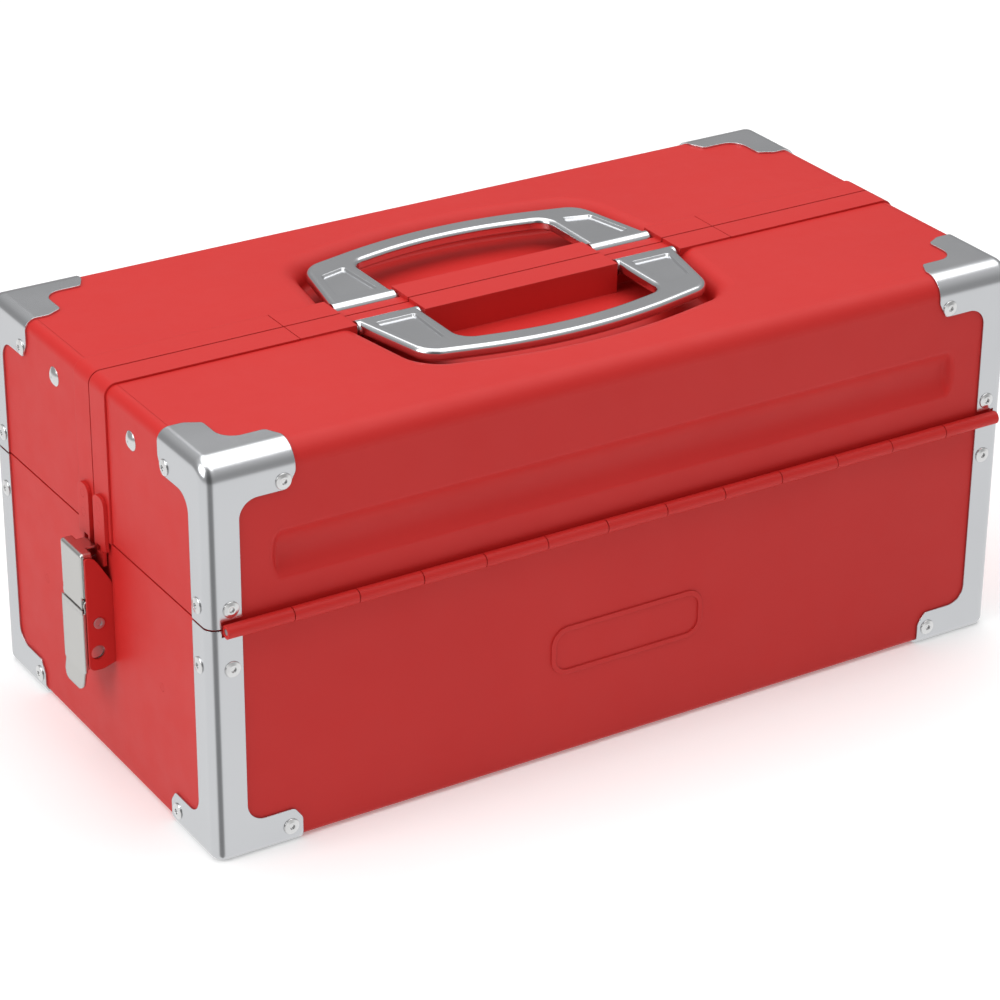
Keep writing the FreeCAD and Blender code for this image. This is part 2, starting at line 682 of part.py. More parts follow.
def recess_bowl(grow):
    """The handle recess of the front wing as a solid that runs on past the middle."""
    outline = handle_reach(RECESS_SIDE_GAP + grow, RECESS_FRONT_GAP + grow, 1)
    floor = RECESS_FLOOR_Z - grow
    bowl = prism_z(outline, floor, HEIGHT + 5)
    return fillet_where(bowl, RECESS_FLOOR_RADIUS + grow,
                        lambda e: abs(e.BoundBox.ZMax - floor) < 1e-3 and e.BoundBox.YMax < 1 + 1e-3
                        and e.CenterOfMass.y < 0)


def block_with_bowl(inset):
    """Wing block with the recess and its rolled lip, its face moved inwards by inset."""
    top = TOP_Z - inset
    block = wing_block(-inset).cut(recess_bowl(inset))

    def on_lip(edge):
        centre = edge.CenterOfMass
        on_top = abs(edge.BoundBox.ZMin - top) < 1e-3
        behind_shoulder = centre.y > -FACE_Y + SHOULDER_RADIUS + 1
        before_middle = centre.y < -CENTRE_GAP - inset - 1
        return on_top and behind_shoulder and before_middle and abs(centre.x) < FOOT_OUT_X + 15

    return fillet_where(block, RECESS_LIP_RADIUS - inset, on_lip)


def middle_block(inset):
    """The raised middle of the band with the beam and the strip, cut away for the feet."""
    half = BAND_SPLIT_X - SPLIT_GAP / 2 - inset
    block = box(-half, half, -BAND_HALF + inset, -CENTRE_GAP, RECESS_FLOOR_Z - SHEET,
                TOP_Z + BAND_PROUD - inset)
    for sign in (-1, 1):
        low, high = sorted([sign * (BEAM_HALF_X - inset), sign * (FOOT_SLOT_X + inset)])
        foot_room = box(low, high, -BAND_HALF - 1, -STRIP_HALF + inset, RECESS_FLOOR_Z - inset,
                        HEIGHT + 5)
        above_strip = box(low, high, -BAND_HALF - 1, 1, STRIP_TOP_Z - inset, HEIGHT + 5)
        block = block.cut(foot_room).cut(above_strip)
    return block


def groove(grow):
    """The pressed groove as a solid: a shallow round cove, its end walls rounded."""
    half_height = (GROOVE_HIGH_Z - GROOVE_LOW_Z) / 2
    radius = (half_height ** 2 + GROOVE_DEPTH ** 2) / (2 * GROOVE_DEPTH)
    centre = (-GROOVE_HALF - grow, -FACE_Y + GROOVE_DEPTH - radius, GROOVE_LOW_Z + half_height)
    cove = rod(centre, X_AXIS, radius + grow, 2 * (GROOVE_HALF + grow))
    return fillet_where(cove, GROOVE_END_RADIUS, lambda e: abs(e.CenterOfMass.x) > 1)


def soften_groove(block):
    """Round the rim of the groove."""
    def on_rim(edge):
        on_face = max(abs(edge.BoundBox.YMin + FACE_Y), abs(edge.BoundBox.YMax + FACE_Y)) < 1e-2
        within = GROOVE_LOW_Z - 1 < edge.CenterOfMass.z < GROOVE_HIGH_Z + 1
        return on_face and within and abs(edge.CenterOfMass.x) < GROOVE_HALF + 1

    return fillet_where(block, GROOVE_RIM_RADIUS, on_rim)


def wing_cover():
    """Top and front in one folded sheet, with groove, recess, raised middle and centre lip."""
    outside = soften_groove(block_with_bowl(0).cut(groove(0))).fuse(middle_block(0))
    hollow = block_with_bowl(SHEET).fuse(middle_block(SHEET))
    low = WING_LOW_Z - 1
    hollow = hollow.fuse(box(-FACE_X + 8, FACE_X - 8, -FACE_Y + 8, 1, low, RECESS_FLOOR_Z - 5))
    hollow = hollow.fuse(box(-FACE_X + 8, FACE_X - 8, -FACE_Y + 6, -CENTRE_GAP - 1, low, low + 2))
    sheet = outside.cut(hollow.cut(groove(SHEET)))
    mid = sheet.common(split_box(PANEL_SPLIT_X - PANEL_GAP, WING_LOW_Z, HEIGHT + 5))
    lip = box(-PANEL_SPLIT_X + LAP, PANEL_SPLIT_X - LAP, -CENTRE_GAP - SHEET, -CENTRE_GAP,
              TOP_Z - CENTRE_LIP, STRIP_TOP_Z)
    cover = joined([mid, lip])
    for sign in (-1, 1):
        cover = cover.cut(handle_pin_solid(sign))
    return cover.cut(holes_at(wing_rivet_places()))


def wing_end():
    """The -X end panel of the front wing."""
    low = WING_LOW_Z - 1
    wall_room = box(-FACE_X + SHEET, 0, -FACE_Y + 6, 1, low, TOP_Z - END_RADIUS)
    top_room = box(-FACE_X + END_RADIUS, 0, -FACE_Y + SHOULDER_RADIUS + 1, 1, low, TOP_Z - SHEET)
    front_room = box(-FACE_X + END_RADIUS, 0, -FACE_Y + SHEET, 1, low, TOP_Z - 20)
    hollow = wing_block(-SHEET).fuse(wall_room).fuse(top_room).fuse(front_room)
    sheet = wing_block(0).cut(hollow)
    cap = sheet.common(box(-FACE_X - 1, -PANEL_SPLIT_X, -WIDTH, 0, WING_LOW_Z, HEIGHT))
    lap_low = WING_LOW_Z + LEAF_HEIGHT + 1
    lap = wing_block(-SHEET).cut(wing_block(-2 * SHEET))
    lap = lap.common(box(-FACE_X + SHEET + 2, -PANEL_SPLIT_X + LAP, -WIDTH, -CENTRE_GAP - 3,
                         lap_low, HEIGHT))
    panel = joined([cap, lap])
    panel = panel.cut(holes_at(wing_rivet_places()))
    panel = panel.cut(rivet_hole(dome_place(), (-1, 0, 0)))
    return panel.cut(all_of([rivet_hole(place, (-1, 0, 0)) for place in strap_rivet_places()]))


def dome_place():
    return (-FACE_X, -DOME_Y, DOME_Z)


def strap_rivet_places():
    return [(-FACE_X - SHEET - TONGUE_SHEET, -8.0, z) for z in (124.5, 134.0)]


def wing_strap():
    """Edge strap: along the top of the band, over the end and down to the seam."""
    outer_x = -FACE_X - BAND_PROUD
    high = TOP_Z + BAND_PROUD
    inner_x = -BAND_SPLIT_X - SPLIT_GAP / 2
    block = box(outer_x, inner_x, -BAND_HALF, -CENTRE_GAP, WING_LOW_Z, high)
    block = fillet_where(block, END_RADIUS + BAND_PROUD,
                         lambda e: abs(e.CenterOfMass.x - outer_x) < 1e-3
                         and abs(e.CenterOfMass.z - high) < 1e-3)
    strap = block.cut(wing_block(0))
    return strap.cut(all_of([rivet_hole(place, (-1, 0, 0)) for place in strap_rivet_places()]))


def wing_tongue():
    """Catch tongue riveted on the strap; its slotted neck hangs in front of the lower box."""
    low = -FACE_X - BAND_PROUD
    outline = [(-TONGUE_IN_Y, TONGUE_LOW_Z, 1), (-TONGUE_IN_Y, TONGUE_TOP_Z, 4.5),
               (-TONGUE_OUT_Y, TONGUE_TOP_Z, 4.5), (-TONGUE_OUT_Y, TONGUE_STEP_Z, 0.8),
               (-TONGUE_NECK_Y, TONGUE_STEP_Z, 0), (-TONGUE_NECK_Y, TONGUE_LOW_Z, 1)]
    tongue = prism_x(outline, low - TONGUE_SHEET, low)
    slot = box(low - 5, low + 1, -TONGUE_NECK_Y + 2, -TONGUE_IN_Y - 2,
               TONGUE_STEP_Z - 2, TONGUE_STEP_Z + 1.5)
    holes = all_of([rivet_hole(place, (-1, 0, 0)) for place in strap_rivet_places()])
    return tongue.cut(slot).cut(holes)


def tongue_rivets():
    """Flush rivets: shank and closing tail only."""
    pieces = []
    for place in strap_rivet_places():
        shank = rod(place, X_AXIS, RIVET_SHANK_RADIUS, TONGUE_SHEET + BAND_PROUD + SHEET)
        inner = (place[0] + TONGUE_SHEET + BAND_PROUD + SHEET, place[1], place[2])
        pieces.append(joined([shank, rod(inner, X_AXIS, RIVET_SHANK_RADIUS + 0.9, 0.8)]))
    return pieces


def wing_rail():
    """Channel rail across the wing, with a riveted tab at each end."""
    half = FACE_X - SHEET
    y0 = -DOME_Y - RAIL_HALF
    y1 = -DOME_Y + RAIL_HALF
    outer = box(-half, half, y0, y1, RAIL_LOW_Z, RAIL_HIGH_Z)
    inner = box(-half + SHEET, half - SHEET, y0 + SHEET, y1 - SHEET,
                RAIL_LOW_Z - 1, RAIL_HIGH_Z - SHEET)
    tab_points = [(y0, RAIL_LOW_Z, 0), (y0, DOME_Z + 8, 6), (y1, DOME_Z + 8, 6), (y1, RAIL_LOW_Z, 0)]
    tab = prism_x(tab_points, -half, -half + SHEET)
    rail = joined([outer.cut(inner), tab, flip_x(tab)])
    hole = rivet_hole(dome_place(), (-1, 0, 0))
    return rail.cut(hole).cut(flip_x(hole))


# ---------------------------------------------------------------- handles

def handle_reach(side, front, back_y):
    """Outside line of the front handle moved outwards, closed along y = back_y."""
    corner = (HANDLE_CORNER_X + side, BOW_OUTER_CORNER_Y - front,
              BOW_OUTER_CORNER_RADIUS + (side + front) / 2)
    right = [(FOOT_OUT_X + side, back_y, 0), corner]
    left = [(-x, y, r) for x, y, r in reversed(right)]
    return right + [(0, BOW_OUTER_MIDDLE_Y - front, BOW_OUTER_RADIUS)] + left


def handle_outline():
    left = [(-FOOT_IN_X, -HANDLE_AXIS_Y, 0), (-FOOT_IN_X, BOW_INNER_CORNER_Y, BOW_INNER_CORNER_RADIUS)]
    right = [(-x, y, radius) for x, y, radius in reversed(left)]
    inner = left + [(0, BOW_INNER_MIDDLE_Y, BOW_INNER_RADIUS)] + right
    return handle_reach(0, 0, -HANDLE_AXIS_Y) + inner


def foot_pocket():
    """Shallow pocket with slanted sides in the top of one foot."""
    top = [(59.5, -17, 1.5), (81, -17, 1.5), (75.5, -43, 3), (61, -47, 1.5)]
    low = [(60.4, -17.9, 1), (80, -17.9, 1), (74.8, -42.2, 2.2), (61.8, -45.9, 1)]
    wires = []
    floor_z = HANDLE_TOP_Z - POCKET_DEPTH
    for points, height in ((low, floor_z), (top, HANDLE_TOP_Z), (top, HANDLE_TOP_Z + 1)):
        face = rounded_face(points)
        face.translate(FreeCAD.Vector(0, 0, height))
        wires.append(face.OuterWire)
    return Part.makeLoft(wires, True, True)


def half_handle():
    """Front handle lying flat: die-cast bow with two barrelled feet."""
    low = HANDLE_TOP_Z - HANDLE_THICK
    bow = prism_z(handle_outline(), low, HANDLE_TOP_Z)
    for height, radius in ((HANDLE_TOP_Z, HANDLE_TOP_ROUND), (low, HANDLE_LOW_ROUND)):
        bow = fillet_where(bow, radius, lambda e: e.CenterOfMass.y < -HANDLE_AXIS_Y - 1
                           and abs(e.CenterOfMass.z - height) < 1e-3 and e.BoundBox.ZLength < 1e-3)
    barrel = rod((FOOT_IN_X, -HANDLE_AXIS_Y, HANDLE_AXIS_Z), X_AXIS, BARREL_RADIUS,
                 FOOT_OUT_X - FOOT_IN_X)
    handle = joined([bow, barrel, flip_x(barrel)])
    handle = handle.cut(foot_pocket()).cut(flip_x(foot_pocket()))
    bore_radius = HANDLE_PIN_RADIUS + RUNNING_GAP
    bore = rod((-LENGTH / 2, -HANDLE_AXIS_Y, HANDLE_AXIS_Z), X_AXIS, bore_radius, LENGTH)
    return handle.cut(bore)


def handle_pin_solid(sign):
    low = min(sign * (BEAM_HALF_X - 3), sign * (FOOT_SLOT_X + 3))
    length = FOOT_SLOT_X - BEAM_HALF_X + 6
    return rod((low, -HANDLE_AXIS_Y, HANDLE_AXIS_Z), X_AXIS, HANDLE_PIN_RADIUS, length)


# ---------------------------------------------------------------- tray

def ledge_rivet_places():
    return [(-FACE_X, y, TRAY_LOW_Z - LEDGE_WEB / 2 - 0.5) for y in (-60.0, 60.0)]


def ledge_rivet_holes():
    return all_of([rivet_hole(place, (-1, 0, 0)) for place in ledge_rivet_places()])


def tray_ledge():
    """Angle on the -X end wall that the tray rests on."""
    wall = -FACE_X + SHEET
    shelf = box(wall, -LEDGE_IN_X, -LEDGE_HALF_Y, LEDGE_HALF_Y, TRAY_LOW_Z - SHEET, TRAY_LOW_Z)
    web = box(wall, wall + SHEET, -LEDGE_HALF_Y, LEDGE_HALF_Y, TRAY_LOW_Z - LEDGE_WEB, TRAY_LOW_Z)
    return joined([shelf, web]).cut(ledge_rivet_holes())


def ledge_rivets():
    """Flush outside, closed inside."""
    pieces = []
    for place in ledge_rivet_places():
        inner = (place[0] + 2 * SHEET, place[1], place[2])
        pieces.append(joined([rod(place, X_AXIS, RIVET_SHANK_RADIUS, 2 * SHEET),
                              rod(inner, X_AXIS, RIVET_SHANK_RADIUS + 0.9, 0.8)]))
    return pieces


def rounded_slab(half_x, half_y, low, high, radius):
    return prism_z(rounded_rectangle(2 * half_x, 2 * half_y, radius), low, high)


def tray_pan():
    """Open pan with a flanged rim that is turned down at its edge."""
    half_x = TRAY_HALF_X - TRAY_RIM
    half_y = TRAY_HALF_Y - TRAY_RIM
    body = rounded_slab(half_x, half_y, TRAY_LOW_Z, TRAY_HIGH_Z, 8)
    rim = rounded_slab(TRAY_HALF_X, TRAY_HALF_Y, TRAY_HIGH_Z - TRAY_RIM, TRAY_HIGH_Z, 10)
    under_rim = rounded_slab(TRAY_HALF_X - SHEET, TRAY_HALF_Y - SHEET,
                             TRAY_LOW_Z, TRAY_HIGH_Z - SHEET, 9)
    inside = rounded_slab(half_x - SHEET, half_y - SHEET, TRAY_LOW_Z + SHEET, TRAY_HIGH_Z + 1, 7)
    return joined([body, rim.cut(under_rim)]).cut(inside)


def tray_divider():
    """Lengthwise wall with the two lugs that carry the bail handle."""
    half = TRAY_HALF_X - TRAY_RIM - SHEET
    wall = box(-half, half, -0.5, 0.5, TRAY_LOW_Z + SHEET, TRAY_HIGH_Z - 1)
    lugs = []
    for sign in (-1, 1):
        centre = sign * LUG_CENTRE
        points = [(centre - LUG_HALF, TRAY_HIGH_Z - 12, 0), (centre - LUG_HALF, BAIL_Z + 4, 3),
                  (centre + LUG_HALF, BAIL_Z + 4, 3), (centre + LUG_HALF, TRAY_HIGH_Z - 12, 0)]
        lugs.append(prism_y(points, -0.5, 0.5))
        boss_start = centre if sign > 0 else centre - LUG_HALF
        lugs.append(rod((boss_start, 0, BAIL_Z), X_AXIS, BAIL_EYE_RADIUS, LUG_HALF))
    divider = joined([wall] + lugs)
    for sign in (-1, 1):
        divider = divider.cut(tray_pivot(sign))
    return divider


def tray_pivot(sign):
    """Pivot pin from the boss on the lug into the foot of the bail."""
    high = BAIL_HALF + BAIL_ARM_HALF + 0.3
    start = LUG_CENTRE if sign > 0 else -high
    return rod((start, 0, BAIL_Z), X_AXIS, BAIL_PIN_RADIUS, high - LUG_CENTRE)


def tray_cross_walls():
    """Two short walls in the back half of the tray."""
    back = TRAY_HALF_Y - TRAY_RIM - SHEET
    low = TRAY_LOW_Z + SHEET
    return [box(sign * TRAY_CELL_X - 0.5, sign * TRAY_CELL_X + 0.5, 0.5, back, low, TRAY_HIGH_Z - 4)
            for sign in (-1, 1)]


def tray_handle():
    """Bail folded down to the front: flat feet on the pivots and a round grip."""
    feet = []
    for sign in (-1, 1):
        centre = sign * BAIL_HALF
        low = centre - BAIL_ARM_HALF
        eye = rod((low, 0, BAIL_Z), X_AXIS, BAIL_EYE_RADIUS, 2 * BAIL_ARM_HALF)
        arm = box(low, centre + BAIL_ARM_HALF, -BAIL_REACH, 0, BAIL_Z - 2, BAIL_Z + 2)
        feet += [eye, arm]
    half = BAIL_HALF + BAIL_ARM_HALF
    grip = rod((-half, -BAIL_REACH, BAIL_Z), X_AXIS, BAIL_GRIP_RADIUS, 2 * half)
    handle = joined(feet + [grip])
    return handle.cut(rod((-half, 0, BAIL_Z), X_AXIS, BAIL_PIN_RADIUS + RUNNING_GAP, 2 * half))


# ---------------------------------------------------------------- all nodes

def base_nodes():
    end = base_end()
    nodes = {"base_wrap": base_wrap(), "base_end_left": end, "base_end_right": flip_x(end)}
    corner = base_bracket().cut(holes_at(base_rivet_places()))
    for y_name, turn_y in (("front", False), ("back", True)):
        for x_name, turn_x in (("left", False), ("right", True)):
            piece = flip_y(corner) if turn_y else corner
            nodes["base_bracket_%s_%s" % (y_name, x_name)] = flip_x(piece) if turn_x else piece
    nodes["base_bracket_rivets"] = all_of(pop_rivets_at(base_rivet_places()))
    nodes["hinge_front_base_leaf"] = base_leaf()
    nodes["hinge_back_base_leaf"] = flip_y(base_leaf())
    nodes["hinge_front_pin"] = hinge_pin()
    nodes["hinge_back_pin"] = flip_y(hinge_pin())
    ledge = tray_ledge()
    nodes["tray_ledges"] = all_of([ledge, flip_x(ledge)])
    rivets = ledge_rivets()
    nodes["tray_ledge_rivets"] = all_of(rivets + [flip_x(rivet) for rivet in rivets])
    return nodes


def latch_nodes():
    housing = latch_housing()
    pin = latch_pivot_pin()
    rivets = latch_rivets()
    lever = latch_lever()
    claw = latch_claw()
    link = latch_link_pin()
    nodes = {"latch_pivot_pins": all_of([pin, flip_x(pin)]),
             "latch_rivets": all_of(rivets + [flip_x(rivet) for rivet in rivets])}
    for name, turn in (("left", False), ("right", True)):
        nodes["latch_housing_" + name] = flip_x(housing) if turn else housing
        nodes["latch_lever_" + name] = flip_x(lever) if turn else lever
        nodes["latch_claw_" + name] = flip_x(claw) if turn else claw
        nodes["latch_link_pin_" + name] = flip_x(link) if turn else link
    return nodes


def front_wing_nodes():
    corner = wing_bracket().cut(holes_at(wing_rivet_places()))
    strap = wing_strap()
    tongue = wing_tongue()
    flush = tongue_rivets()
    dome = set_rivet(dome_rivet(), dome_place(), (-1, 0, 0), 2 * SHEET)
    return {"cover": wing_cover(), "end_left": wing_end(), "end_right": flip_x(wing_end()),
            "bracket_left": corner, "bracket_right": flip_x(corner),
            "bracket_rivets": all_of(pop_rivets_at(wing_rivet_places())),
            "dome_rivets": all_of([dome, flip_x(dome)]),
            "straps": all_of([strap, flip_x(strap)]), "tongues": all_of([tongue, flip_x(tongue)]),
            "tongue_rivets": all_of(flush + [flip_x(rivet) for rivet in flush]),
            "rail": wing_rail(), "hinge_leaf": wing_leaf(),
            "handle_pins": all_of([handle_pin_solid(-1), handle_pin_solid(1)])}


def wing_nodes():
    nodes = {}
    for name, shape in front_wing_nodes().items():
        nodes["wing_front_" + name] = shape
        nodes["wing_back_" + name] = flip_y(shape)
    nodes["handle_front"] = half_handle()
    nodes["handle_back"] = flip_y(half_handle())
    return nodes


def tray_nodes():
    return {"tray_pan": tray_pan(), "tray_divider": tray_divider(),
            "tray_cross_walls": all_of(tray_cross_walls()), "tray_handle": tray_handle(),
            "tray_handle_pins": all_of([tray_pivot(-1), tray_pivot(1)])}


def main():
    os.makedirs("parts", exist_ok=True)
    nodes = {}
    for group in (base_nodes(), latch_nodes(), wing_nodes(), tray_nodes()):
        nodes.update(group)
    for name, shape in nodes.items():
        shape.exportStep("parts/%s.step" % name)
        print(name, len(shape.Solids), round(shape.Volume, 1), shape.isValid())


main()
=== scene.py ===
import bpy
import json
import math
from mathutils import Matrix, Vector


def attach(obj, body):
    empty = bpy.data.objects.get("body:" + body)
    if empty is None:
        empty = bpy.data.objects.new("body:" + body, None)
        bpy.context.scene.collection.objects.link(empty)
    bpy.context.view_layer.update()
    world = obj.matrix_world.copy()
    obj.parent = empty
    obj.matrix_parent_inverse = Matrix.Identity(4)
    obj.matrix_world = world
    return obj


# Steel toolbox with two lids: its finishes, a white studio and the camera.
# Lengths are in metres. X runs along the box and -Y is the front.

MM = 0.001

# Camera: angles about the box in degrees, its distance, and its shifts across the view.
CAMERA_AZIMUTH = -31.95
CAMERA_ELEVATION = 26.724
CAMERA_ROLL = 0.488
CAMERA_DISTANCE = 1.68778
CAMERA_SIDE = -0.001095
CAMERA_LIFT = 0.068983
LENS_MM = 122.374
SENSOR_MM = 36

# Softboxes: name, place, point it faces, width, height and power in watts.
SOFTBOXES = [
    ("top_softbox", (0.2, 0.1, 1.5), (0.1, 0, 0.1), 2.0, 2.2, 18.5),
    ("left_softbox", (-1.5, -0.1, 1.0), (0, 0, 0.1), 1.0, 1.0, 10),
]

# World: (height, strength), where height runs from 0 straight down to 1 straight up.
WORLD_LEVELS = [(0.40, 0.86), (0.50, 0.34), (0.62, 0.34), (0.95, 0.66)]

# Dark zone of the world: the way to its middle, the cosines where it starts and
# where it is full, and the share of the light that is left there.
DARK_SIDE = (-0.52, -0.85, 0.0)
DARK_START = 0.86
DARK_FULL = 0.98
DARK_SHARE = 0.30

# White paper under the box.
PAPER_HALF = 6.0
PAPER_SHADES = ((0.93, 0.93, 0.93), (0.96, 0.96, 0.96))
PAPER_GLOW = 0.2
PAPER_ROUGHNESS = 0.9
PAPER_SPECULAR = 0.1

# The part of a noise's range that is used, and the rays that soften an edge.
NOISE_LOW = 0.3
NOISE_HIGH = 0.7
EDGE_SAMPLES = 6

# Noises: features per metre, and detail.
PAPER_SHADE_NOISE = (3, 2)
COAT_SHADE_NOISE = (9, 3)
COAT_GLOSS_NOISE = (60, 4)
COAT_PEEL_NOISE = (320, 1)
COAT_GRAIN_NOISE = (1500, 2)
METAL_SHADE_NOISE = (14, 2)
METAL_GLOSS_NOISE = (40, 2)
METAL_GRAIN_NOISE = (1400, 2)

# Powder coat: light and deep red, gloss, softened edges, and bumps of strength and depth.
PAINT_REDS = ((0.60, 0.026, 0.023), (0.56, 0.020, 0.018))
COAT_SHADE_RANGE = (0.2, 0.8)
COAT_ROUGHNESS = (0.44, 0.52)
COAT_SPECULAR = 0.26
COAT_EDGE = 0.5 * MM
COAT_PEEL_BUMP = (0.12, 0.12 * MM)
COAT_GRAIN_BUMP = (0.22, 0.06 * MM)

# Plated steel, by material slot: name, light and deep shade, range of roughness, softened edge.
METAL_SHADE_RANGE = (0.1, 0.9)
METAL_GRAIN_BUMP = (0.05, 0.03 * MM)
PLATED = {
    "bracket_steel": ("satin_bracket", (0.70, 0.71, 0.73), (0.66, 0.67, 0.69), (0.20, 0.24), 0.45 * MM),
    "handle_chrome": ("satin_chrome", (0.72, 0.73, 0.75), (0.68, 0.69, 0.71), (0.15, 0.19), 0.4 * MM),
    "latch_nickel": ("nickel", (0.66, 0.65, 0.63), (0.61, 0.60, 0.58), (0.20, 0.26), 1.2 * MM),
    "rivet_steel": ("rivet_steel", (0.84, 0.84, 0.84), (0.78, 0.78, 0.78), (0.16, 0.22), 0.3 * MM),
    "zinc_steel": ("zinc_steel", (0.66, 0.67, 0.68), (0.56, 0.57, 0.59), (0.30, 0.42), 0.3 * MM),
}

# Turned edge of a latch lever: distances from the box's middle, half its length, and heights.
LIP_X = (229.9 * MM, 230.25 * MM)
LIP_HALF = 10.6 * MM
LIP_Z = (82.6 * MM, 85.1 * MM)

# Faces of a block whose corners count up in z, then y, then x.
BLOCK_FACES = [(0, 1, 3, 2), (4, 6, 7, 5), (0, 4, 5, 1), (2, 3, 7, 6), (0, 2, 6, 4), (1, 5, 7, 3)]

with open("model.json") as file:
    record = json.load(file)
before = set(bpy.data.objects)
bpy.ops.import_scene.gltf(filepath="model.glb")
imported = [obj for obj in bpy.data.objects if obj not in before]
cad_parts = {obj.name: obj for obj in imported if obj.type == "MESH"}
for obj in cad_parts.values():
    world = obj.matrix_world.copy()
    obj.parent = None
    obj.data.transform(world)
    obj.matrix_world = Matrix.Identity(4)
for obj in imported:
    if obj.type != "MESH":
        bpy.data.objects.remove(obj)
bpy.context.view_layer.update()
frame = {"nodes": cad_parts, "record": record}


# ---------------------------------------------------------------- node helpers

def shader(name):
    """A new material with its node tree and its Principled shader."""
    material = bpy.data.materials.new(name)
    material.use_nodes = True
    return material, material.node_tree, material.node_tree.nodes["Principled BSDF"]


def node(tree, kind, **values):
    """Add a node; a value goes to the input of that name, or to the setting."""
    made = tree.nodes.new("ShaderNode" + kind)
    for key, value in values.items():
        title = key.replace("_", " ").title()
        if title in made.inputs:
            made.inputs[title].default_value = value
        else:
            setattr(made, key, value)
    return made


def noise(tree, pattern):
    """Noise over the object's own metres, from (features per metre, detail)."""
    scale, detail = pattern
    place = node(tree, "TexCoord")
    made = node(tree, "TexNoise", scale=scale, detail=detail)
    tree.links.new(place.outputs["Object"], made.inputs["Vector"])
    return made.outputs["Fac"]


def spread(tree, value, limits):
    """Map the middle of a noise onto a range."""
    low, high = limits
    made = node(tree, "MapRange", from_min=NOISE_LOW, from_max=NOISE_HIGH, to_min=low, to_max=high)
    tree.links.new(value, made.inputs["Value"])
    return made.outputs["Result"]


def blend_colours(tree, factor, first, second):
    """Mix two colours by a factor from 0 to 1."""
    made = node(tree, "Mix", data_type="RGBA")
    colour_inputs = [socket for socket in made.inputs if socket.type == "RGBA"]
    colour_inputs[0].default_value = (*first, 1)
    colour_inputs[1].default_value = (*second, 1)
    tree.links.new(factor, made.inputs["Factor"])
    return [socket for socket in made.outputs if socket.type == "RGBA"][0]


def bumps(tree, layers, edge_radius):
    """Stack bumps, each (noise pattern, (strength, depth)), on softened edges."""
    normal = node(tree, "Bevel", radius=edge_radius, samples=EDGE_SAMPLES).outputs["Normal"]
    for pattern, (strength, depth) in layers:
        made = node(tree, "Bump", strength=strength, distance=depth)
        tree.links.new(noise(tree, pattern), made.inputs["Height"])
        tree.links.new(normal, made.inputs["Normal"])
        normal = made.outputs["Normal"]
    return normal


# ---------------------------------------------------------------- materials

def powder_coat(name, light, deep):
    """Satin powder coat: fine grain on a faint orange peel."""
    material, tree, bsdf = shader(name)
    drift = spread(tree, noise(tree, COAT_SHADE_NOISE), COAT_SHADE_RANGE)
    gloss = spread(tree, noise(tree, COAT_GLOSS_NOISE), COAT_ROUGHNESS)
    layers = [(COAT_PEEL_NOISE, COAT_PEEL_BUMP), (COAT_GRAIN_NOISE, COAT_GRAIN_BUMP)]
    tree.links.new(blend_colours(tree, drift, light, deep), bsdf.inputs["Base Color"])
    tree.links.new(gloss, bsdf.inputs["Roughness"])
    tree.links.new(bumps(tree, layers, COAT_EDGE), bsdf.inputs["Normal"])
    bsdf.inputs["Specular IOR Level"].default_value = COAT_SPECULAR
    return material


def plated_metal(name, light, deep, roughness, edge_radius):
    """Satin plated steel: slow changes of shade and gloss, and a very fine grain."""
    material, tree, bsdf = shader(name)
    drift = spread(tree, noise(tree, METAL_SHADE_NOISE), METAL_SHADE_RANGE)
    gloss = spread(tree, noise(tree, METAL_GLOSS_NOISE), roughness)
    layers = [(METAL_GRAIN_NOISE, METAL_GRAIN_BUMP)]
    tree.links.new(blend_colours(tree, drift, light, deep), bsdf.inputs["Base Color"])
    tree.links.new(gloss, bsdf.inputs["Roughness"])
    tree.links.new(bumps(tree, layers, edge_radius), bsdf.inputs["Normal"])
    bsdf.inputs["Metallic"].default_value = 1.0
    return material


def white_paper():
    """Matt paper that glows a little, so that it stays white."""
    material, tree, bsdf = shader("white_paper")
    shade = spread(tree, noise(tree, PAPER_SHADE_NOISE), (0.0, 1.0))
    tree.links.new(blend_colours(tree, shade, *PAPER_SHADES), bsdf.inputs["Base Color"])
    bsdf.inputs["Roughness"].default_value = PAPER_ROUGHNESS
    bsdf.inputs["Emission Color"].default_value = (1, 1, 1, 1)
    bsdf.inputs["Emission Strength"].default_value = PAPER_GLOW
    bsdf.inputs["Specular IOR Level"].default_value = PAPER_SPECULAR
    return material


def finishes():
    """The box's materials by slot; rivets of the tongues, latches and ledges are painted over."""
    red = powder_coat("red_powder_coat", *PAINT_REDS)
    by_slot = {"red_paint": red, "rivet_red": red}
    for slot, values in PLATED.items():
        by_slot[slot] = plated_metal(*values)
    return by_slot


def dress_nodes(materials):
    """Give each CAD node the material of its slot."""
    slots = {row["node"]: row["material_slot"] for row in frame["record"]["subparts"]}
    for name, piece in frame["nodes"].items():
        piece.data.materials.clear()
        piece.data.materials.append(materials[slots[name]])


# ---------------------------------------------------------------- added piece

def lever_lip(name, body, side, material):
    """Turned upper edge of a latch lever, which closes the joint under the claw."""
    mesh = bpy.data.meshes.new(name)
    corners = [(side * x, y, z) for x in LIP_X for y in (-LIP_HALF, LIP_HALF) for z in LIP_Z]
    faces = BLOCK_FACES
    if side < 0:
        faces = [tuple(reversed(face)) for face in BLOCK_FACES]
    mesh.from_pydata(corners, [], faces)
    mesh.materials.append(material)
    lip = bpy.data.objects.new(name, mesh)
    bpy.context.scene.collection.objects.link(lip)
    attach(lip, body)


# ---------------------------------------------------------------- studio

